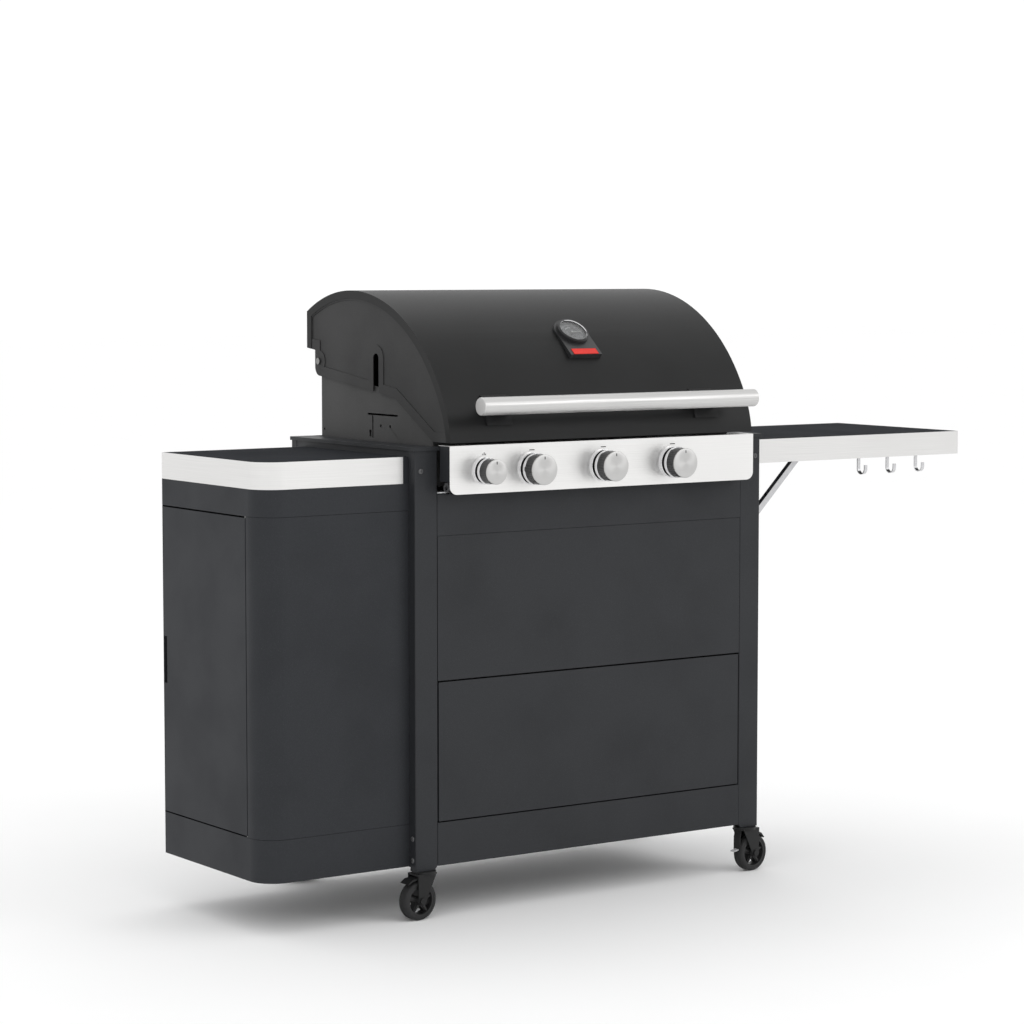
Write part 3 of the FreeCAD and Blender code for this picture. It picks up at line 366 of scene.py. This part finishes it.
def islands(node):
    """Boxes (low, high) of the separate solids in a CAD node."""
    bm = bmesh.new()
    bm.from_mesh(frame["nodes"][node].data)
    bmesh.ops.remove_doubles(bm, verts=bm.verts, dist=1e-5)
    left, found = set(bm.verts), []
    while left:
        stack, group = [left.pop()], []
        while stack:
            vertex = stack.pop()
            group.append(vertex.co.copy())
            for edge in vertex.link_edges:
                other = edge.other_vert(vertex)
                if other in left:
                    left.discard(other)
                    stack.append(other)
        found.append((Vector(map(min, *group)), Vector(map(max, *group))))
    bm.free()
    return sorted(found, key=lambda pair: tuple(round(value, 4) for value in pair[0]))


# ---------------------------------------------------------------- knobs and panel marks

def knob(number):
    """Turned knob: black skirt, chrome ring, ribbed grip and a brushed face with its pointer."""
    node = f"knob_{number}"
    low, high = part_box(node)
    ring_r = (high.x - low.x) / 2
    grip_r = ring_r - 1.2 * MM
    depth = high.y - low.y
    place = Matrix.Translation(((low.x + high.x) / 2, high.y, (low.z + high.z) / 2))
    face_y = -depth
    steel, grip, chrome = 0, 1, 2
    outline = [
        (0, 3.2 * MM, grip, 0), (0, grip_r - 1.3 * MM, grip, 0), (-5.3 * MM, grip_r - 0.8 * MM, grip, 0),
        (-5.5 * MM, grip_r - 0.4 * MM, chrome, 0), (-5.5 * MM, ring_r - 0.5 * MM, chrome, 0),
        (-6.3 * MM, ring_r, chrome, 0), (-11.7 * MM, ring_r - 0.1 * MM, chrome, 0),
        (-12.5 * MM, ring_r - 0.7 * MM, chrome, 0), (-12.5 * MM, grip_r - 0.6 * MM, grip, 0),
        (-13.2 * MM, grip_r - 0.4 * MM, grip, 1), (face_y + 3.2 * MM, grip_r, grip, 1),
        (face_y + 2.6 * MM, grip_r, steel, 0), (face_y + 0.9 * MM, grip_r + 0.1 * MM, steel, 0),
        (face_y + 0.3 * MM, grip_r - 0.3 * MM, steel, 0), (face_y, grip_r - 1.0 * MM, steel, 0),
        (face_y, grip_r * 0.5, steel, 0), (face_y, 0.4 * MM, steel, 0),
    ]
    bm = bmesh.new()
    rings = revolve(bm, outline, 144, (36, 0.5 * MM))
    close(bm, rings[-1], steel)
    close(bm, rings[0], grip)
    tip = grip_r - 4.0 * MM
    block(bm, (-1.1 * MM, face_y - 0.02 * MM, tip - 5.2 * MM), (1.1 * MM, face_y + 1.0 * MM, tip), grip)
    materials = (MATERIAL["knob_steel"], GRIP, MATERIAL["bezel_chrome"])
    made = piece(f"{node}_turned", node, bm, materials, place, 28.0)
    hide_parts(node)


def panel_marks():
    """Printed off-position dashes over the large knobs and a plain three-bar mark over the small one."""
    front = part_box("control_panel")[0].y
    proud, sunk = 0.08 * MM, 0.3 * MM
    bm = bmesh.new()
    for number in range(1, 5):
        low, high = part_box(f"knob_{number}")
        x, top = (low.x + high.x) / 2, high.z + 4.5 * MM
        y = (front - proud, front + sunk)
        if number > 1:
            block(bm, (x - 6.0 * MM, y[0], top), (x + 6.0 * MM, y[1], top + 1.8 * MM))
            continue
        for shift, height in ((-3.2, 3.2), (0.0, 5.4), (3.2, 3.2)):
            left = x + (shift - 0.8) * MM
            block(bm, (left, y[0], top), (left + 1.6 * MM, y[1], top + height * MM))
    piece("panel_marks", "cart", bm, (MARK,))


# ---------------------------------------------------------------- gauge and badge

def gauge_frame():
    """Matrix of the gauge: x right, y up the hood's slope, z out of the dial."""
    joint = JOINT["needle_turn"]
    out = -Vector(joint["axis"]).normalized()
    right = Vector((1, 0, 0))
    up = out.cross(right)
    turn = Matrix((right, up, out)).transposed().to_4x4()
    return Matrix.Translation(joint["pos_m"]) @ turn


def revolve_z(bm, outline, steps=96):
    """Lathe about z: the y lathe turned upright."""
    before = set(bm.verts)
    rings = revolve(bm, outline, steps)
    new = [vertex for vertex in bm.verts if vertex not in before]
    bmesh.ops.rotate(bm, verts=new, cent=(0, 0, 0), matrix=Matrix.Rotation(math.pi / 2, 3, "X"))
    return rings


def gauge_dial():
    """Dial with raised scale, dished border, dark ring with a bright inner lip, and the probe behind."""
    dial_r, ring_r, face, rim = 28.9 * MM, 31.0 * MM, 4.0 * MM, 12.6 * MM
    plate, chrome, pale, dark = 0, 1, 2, 3
    bm = bmesh.new()
    dial = [(face - 1 * MM, 0.5 * MM, plate, 0), (face - 1 * MM, dial_r, plate, 0), (face, dial_r, plate, 0),
            (face, dial_r - 1.5 * MM, plate, 0), (face - 0.4 * MM, dial_r - 2.2 * MM, plate, 0),
            (face - 0.4 * MM, 0.5 * MM, plate, 0)]
    rings = revolve_z(bm, dial)
    close(bm, rings[-1], plate)
    close(bm, rings[0], plate)
    ring = [(rim - 1.6 * MM, dial_r - 0.9 * MM, dark, 0), (rim - 1.6 * MM, ring_r - 0.2 * MM, dark, 0),
            (rim - 0.9 * MM, ring_r, dark, 0), (rim - 0.2 * MM, ring_r - 0.5 * MM, dark, 0),
            (rim, ring_r - 1.3 * MM, dark, 0), (rim - 0.3 * MM, ring_r - 2.4 * MM, chrome, 0),
            (rim - 1.6 * MM, dial_r - 0.9 * MM, dark, 0)]
    revolve_z(bm, ring)
    probe = revolve_z(bm, [(-57 * MM, 2.2 * MM, chrome, 0), (-56 * MM, 3.0 * MM, chrome, 0),
                           (face - 1 * MM, 3.0 * MM, chrome, 0)], 32)
    close(bm, probe[0], chrome)
    first, sweep, marks = math.radians(215), math.radians(250), 31
    for index in range(marks):
        long = index % 5 == 0
        turn = Matrix.Rotation(first - sweep * index / (marks - 1), 4, "Z")
        inner = (17.5 if long else 20.0) * MM
        half = (0.45 if long else 0.2) * MM
        block(bm, (inner, -half, face - 0.6 * MM), (23.5 * MM, half, face - 0.25 * MM), pale, turn)
    for start, end, index in ((0.30, 0.56, pale), (0.56, 0.80, dark)):
        zone(bm, first - sweep * start, first - sweep * end, (13.5 * MM, 15.2 * MM), face - 0.3 * MM, index)
    made = piece("gauge_dial_face", "hood", bm,
                 (MATERIAL["gauge_face"], MATERIAL["bezel_chrome"], WASHED, MATERIAL["gauge_plastic"]),
                 gauge_frame(), 30.0)
    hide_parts("gauge_dial")


def zone(bm, start, end, radii, height, index):
    """Raised arc on the dial."""
    steps = 24
    rows = []
    for level in (height - 0.3 * MM, height):
        for radius in radii:
            rows.append([bm.verts.new((radius * math.cos(start + (end - start) * step / steps),
                                       radius * math.sin(start + (end - start) * step / steps), level))
                         for step in range(steps + 1)])
    low_in, low_out, top_in, top_out = rows
    for a, b in ((top_in, top_out), (low_out, low_in), (top_out, low_out), (low_in, top_in)):
        for step in range(steps):
            bm.faces.new((a[step], b[step], b[step + 1], a[step + 1])).material_index = index
    for step in (0, steps):
        bm.faces.new((low_in[step], low_out[step], top_out[step], top_in[step])).material_index = index


def badge():
    """Plain red plate with a raised border, on the tongue below the dial."""
    half, low, high, top = 29.0 * MM, -63.0 * MM, -48.0 * MM, 4.5 * MM
    bm = bmesh.new()
    block(bm, (-half, low, top - 0.5 * MM), (half, high, top + 0.6 * MM))
    edge = 1.0 * MM
    for x0, x1, y0, y1 in ((-half, half, high - edge, high), (-half, half, low, low + edge),
                           (-half, edge - half, low, high), (half - edge, half, low, high)):
        block(bm, (x0, y0, top), (x1, y1, top + 1.0 * MM))
    piece("hood_badge", "hood", bm, (BADGE,), gauge_frame(), bevel=0.2 * MM)


# ---------------------------------------------------------------- fasteners

def pan_head(name, body, low, high, material):
    """Domed screw head with a cross recess, pointing along the thin side of its box."""
    size = high - low
    axis = min(range(3), key=lambda index: size[index])
    radius, height = max(size) / 2, size[axis]
    centre = (low + high) / 2
    outward = -1 if centre[axis] < 0 else 1
    base = centre.copy()
    base[axis] -= outward * height / 2
    aim = Vector((0, 0, 0))
    aim[axis] = outward
    turn = Vector((0, 1, 0)).rotation_difference(aim).to_matrix().to_4x4()
    bm = bmesh.new()
    dome = [(0, 0.2 * MM, 0, 0), (0, radius, 0, 0), (height * 0.35, radius, 0, 0),
            (height * 0.7, radius * 0.86, 0, 0), (height * 0.92, radius * 0.6, 0, 0),
            (height, radius * 0.36, 0, 0), (height, 0.2 * MM, 0, 0)]
    rings = revolve(bm, dome, 40)
    close(bm, rings[-1])
    close(bm, rings[0])
    head = piece(name, body, bm, (material,), Matrix.Translation(base) @ turn, 50.0)
    cutter = bmesh.new()
    reach, wide = radius * 0.5, radius * 0.15
    block(cutter, (-reach, height * 0.45, -wide), (reach, height * 1.5, wide))
    block(cutter, (-wide, height * 0.45, -reach), (wide, height * 1.5, reach))
    recess(head, cutter)
    return head


def recess(target, cutter):
    """Cut a bmesh out of a piece for good."""
    mesh = bpy.data.meshes.new("cutter")
    cutter.to_mesh(mesh)
    cutter.free()
    tool = bpy.data.objects.new("cutter", mesh)
    bpy.context.scene.collection.objects.link(tool)
    tool.matrix_world = target.matrix_world.copy()
    cut = target.modifiers.new("recess", "BOOLEAN")
    cut.operation = "DIFFERENCE"
    cut.solver = "EXACT"
    cut.use_self = True
    cut.object = tool
    bpy.context.view_layer.update()
    whole = bpy.data.meshes.new_from_object(target.evaluated_get(bpy.context.evaluated_depsgraph_get()))
    target.modifiers.remove(cut)
    target.data = whole
    bpy.data.objects.remove(tool)


def screws():
    for number, (low, high) in enumerate(islands("frame_screws"), 1):
        head = pan_head(f"frame_screw_{number}", "cart", low, high, MATERIAL["screw_black"])
        if number == 1:
            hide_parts("frame_screws")


# ---------------------------------------------------------------- casters

def caster_wheel(place):
    """Tyre with a shallow tread groove on a five-spoke moulded hub with a bolt boss."""
    node = f"caster_wheel_{place}"
    joint = JOINT[f"roll_{place}"]
    axis = Vector(joint["axis"]).normalized()
    radius = joint["pos_m"][2]
    turn = Vector((0, 1, 0)).rotation_difference(axis).to_matrix().to_4x4()
    where = Matrix.Translation(joint["pos_m"]) @ turn
    half, rim, tread = 12.0 * MM, 30.0 * MM, radius
    hub, rubber = 0, 1
    bm = bmesh.new()
    tyre = [(-half + 0.5 * MM, rim - 0.3 * MM), (-half, rim + 1.0 * MM), (-half + 0.6 * MM, tread - 3.4 * MM),
            (-half + 2.2 * MM, tread - 1.2 * MM), (-half + 5.0 * MM, tread - 0.1 * MM), (-3.0 * MM, tread),
            (-2.4 * MM, tread - 0.8 * MM), (-1.6 * MM, tread - 0.8 * MM), (-1.0 * MM, tread)]
    outline = [(y, r, rubber, 0) for y, r in tyre] + [(-y, r, rubber, 0) for y, r in reversed(tyre)]
    revolve(bm, outline + outline[:1], 96)
    seat = (-half + 1 * MM, rim - 0.2 * MM)
    flange = [seat, (-half + 0.6 * MM, rim - 1.4 * MM), (-half + 0.9 * MM, rim - 3.6 * MM),
              (-half + 2.4 * MM, rim - 4.4 * MM), (-2.0 * MM, rim - 5.0 * MM)]
    outline = [(y, r, hub, 0) for y, r in flange] + [(-y, r, hub, 0) for y, r in reversed(flange)]
    revolve(bm, outline + [(-seat[0], seat[1], hub, 0), (*seat, hub, 0)], 96)
    boss = [(-13.4 * MM, 4.1 * MM), (-13.4 * MM, 7.2 * MM), (-12.6 * MM, 8.0 * MM), (-8.0 * MM, 9.0 * MM)]
    outline = [(y, r, hub, 0) for y, r in boss] + [(-y, r, hub, 0) for y, r in reversed(boss)]
    revolve(bm, outline + outline[:1], 48)
    for index in range(5):
        spoke(bm, Matrix.Rotation(TAU * index / 5, 4, "Y"), 8.0 * MM, rim - 4.5 * MM)
    materials = (MATERIAL["wheel_nylon"], TREAD)
    made = piece(f"{node}_moulded", f"wheel_{place}", bm, materials, where, 40.0)
    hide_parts(node)


def spoke(bm, turn, inner, outer):
    """Tapered spoke with a sunken web between two ribs."""
    for low_y, high_y, taper in ((-7.0 * MM, 7.0 * MM, 1.0), (-9.0 * MM, 9.0 * MM, 0.36)):
        half_in, half_out = 4.6 * MM * taper, 3.0 * MM * taper
        corners = []
        for y in (low_y, high_y):
            corners += [bm.verts.new(turn @ Vector(at)) for at in (
                (-half_in, y, inner), (half_in, y, inner), (half_out, y, outer), (-half_out, y, outer))]
        near, far = corners[:4], corners[4:]
        bm.faces.new(near)
        bm.faces.new(far[::-1])
        for step in range(4):
            ahead = (step + 1) % 4
            bm.faces.new((near[step], far[step], far[ahead], near[ahead]))


def brake_tab(place):
    """Black shoe lever down the fork's leading side, with a pale release tab at its foot."""
    pivot = Vector(JOINT[f"swivel_{place}"]["pos_m"])
    trail = Vector(JOINT[f"roll_{place}"]["pos_m"]) - pivot
    heading = Matrix.Rotation(math.atan2(trail.y, trail.x), 4, "Z")
    lever = ((-16.0, 86.0), (-18.5, 86.0), (-22.0, 72.0), (-22.0, 43.0), (-20.0, 43.0), (-20.0, 71.0))
    tab = ((-20.5, 48.5), (-34.0, 45.6), (-34.0, 43.4), (-20.5, 45.6))
    bm = bmesh.new()
    for outline, half, index in ((lever, 9.0, 0), (tab, 6.0, 1)):
        near, far = ([bm.verts.new((x * MM, y * MM, z * MM)) for x, z in outline] for y in (-half, half))
        faces = [bm.faces.new(near), bm.faces.new(far[::-1])]
        for step in range(len(outline)):
            ahead = (step + 1) % len(outline)
            faces.append(bm.faces.new((near[step], far[step], far[ahead], near[ahead])))
        for face in faces:
            face.material_index = index
    where = Matrix.Translation((pivot.x, pivot.y, 0.0)) @ heading
    materials = (MATERIAL["caster_black"], WASHED)
    piece(f"caster_brake_tab_{place}", f"fork_{place}", bm, materials, where, bevel=0.3 * MM)


# ---------------------------------------------------------------- carried-over CAD nodes

EDGE_WIDTH = {"legs": 0.5, "worktop": 0.3, "table_top": 0.3, "cabinet_door": 0.3, "drawer_front": 0.3,
              "upper_front_panel": 0.3, "control_panel": 0.25, "top_rim": 0.3, "firebox_ends": 0.3}


def carry_over():
    """Give every CAD node that stays its finish, and round the edges that show."""
    for name, thing in frame["nodes"].items():
        for held in thing.material_slots:
            # The table band takes the darker copy of the band steel, painted shade
            held.material = SHADED_TABLE_BAND if name == "table_band" else MATERIAL[SLOT_OF[name]]
        if name in EDGE_WIDTH:
            joined = thing.modifiers.new("joined", "WELD")
            joined.merge_threshold = 0.01 * MM
            soften(thing, EDGE_WIDTH[name] * MM)


# ---------------------------------------------------------------- stage

def floor():
    """Pale matt floor."""
    half, cells = 40.0, 8
    bm = bmesh.new()
    bmesh.ops.create_grid(bm, x_segments=cells, y_segments=cells, size=half)
    mesh = bpy.data.meshes.new("floor")
    bm.to_mesh(mesh)
    bm.free()
    made = bpy.data.objects.new("floor", mesh)
    bpy.context.scene.collection.objects.link(made)
    pale = Finish("floor_paint", (0.96, 0.96, 0.96), 0.9, Specular_IOR_Level=0.1)
    pale.tint(pale.noise(3.0, 2.0), (0.95, 0.95, 0.95))
    pale.relief(pale.noise(400), 0.00005, 0.3)
    mesh.materials.append(pale.material)


def area_light(name, place, aim, size, power):
    light = bpy.data.lights.new(name, "AREA")
    light.shape = "RECTANGLE"
    light.size, light.size_y = size
    light.energy = power
    lamp = bpy.data.objects.new(name, light)
    bpy.context.scene.collection.objects.link(lamp)
    lamp.location = place
    lamp.rotation_euler = (Vector(aim) - Vector(place)).to_track_quat("-Z", "Y").to_euler()


def studio():
    """White surround, one broad key from the front right, a fill from the left and a strip above."""
    world = bpy.data.worlds.new("surround")
    world.use_nodes = True
    world.node_tree.nodes["Background"].inputs["Color"].default_value = (1.0, 1.0, 1.0, 1.0)
    world.node_tree.nodes["Background"].inputs["Strength"].default_value = 1.05
    bpy.context.scene.world = world
    centre = (0.0, 0.0, 0.6)
    area_light("key", (3.2, -4.6, 3.4), centre, (2.6, 2.6), 40)
    area_light("fill", (-5.0, -1.5, 2.2), centre, (3.0, 2.4), 2)
    area_light("strip", (-0.2, 1.6, 3.8), centre, (3.6, 1.0), 9)


def camera():
    data = bpy.data.cameras.new("camera")
    data.lens = 104.07
    data.sensor_width = 36.0
    eye = bpy.data.objects.new("camera", data)
    bpy.context.scene.collection.objects.link(eye)
    eye.location = (-3.5054, -4.7994, 1.2301)
    eye.rotation_euler = (math.radians(90 - 4.783), 0.0, math.radians(-34.638))
    bpy.context.scene.camera = eye


def main():
    camera()
    studio()
    floor()
    carry_over()
    for number in range(1, 5):
        knob(number)
    panel_marks()
    gauge_dial()
    badge()
    screws()
    for place in ("front_left", "front_right", "rear_left", "rear_right"):
        caster_wheel(place)
    brake_tab("front_right")
    bpy.context.scene.view_settings.view_transform = "Standard"


main()
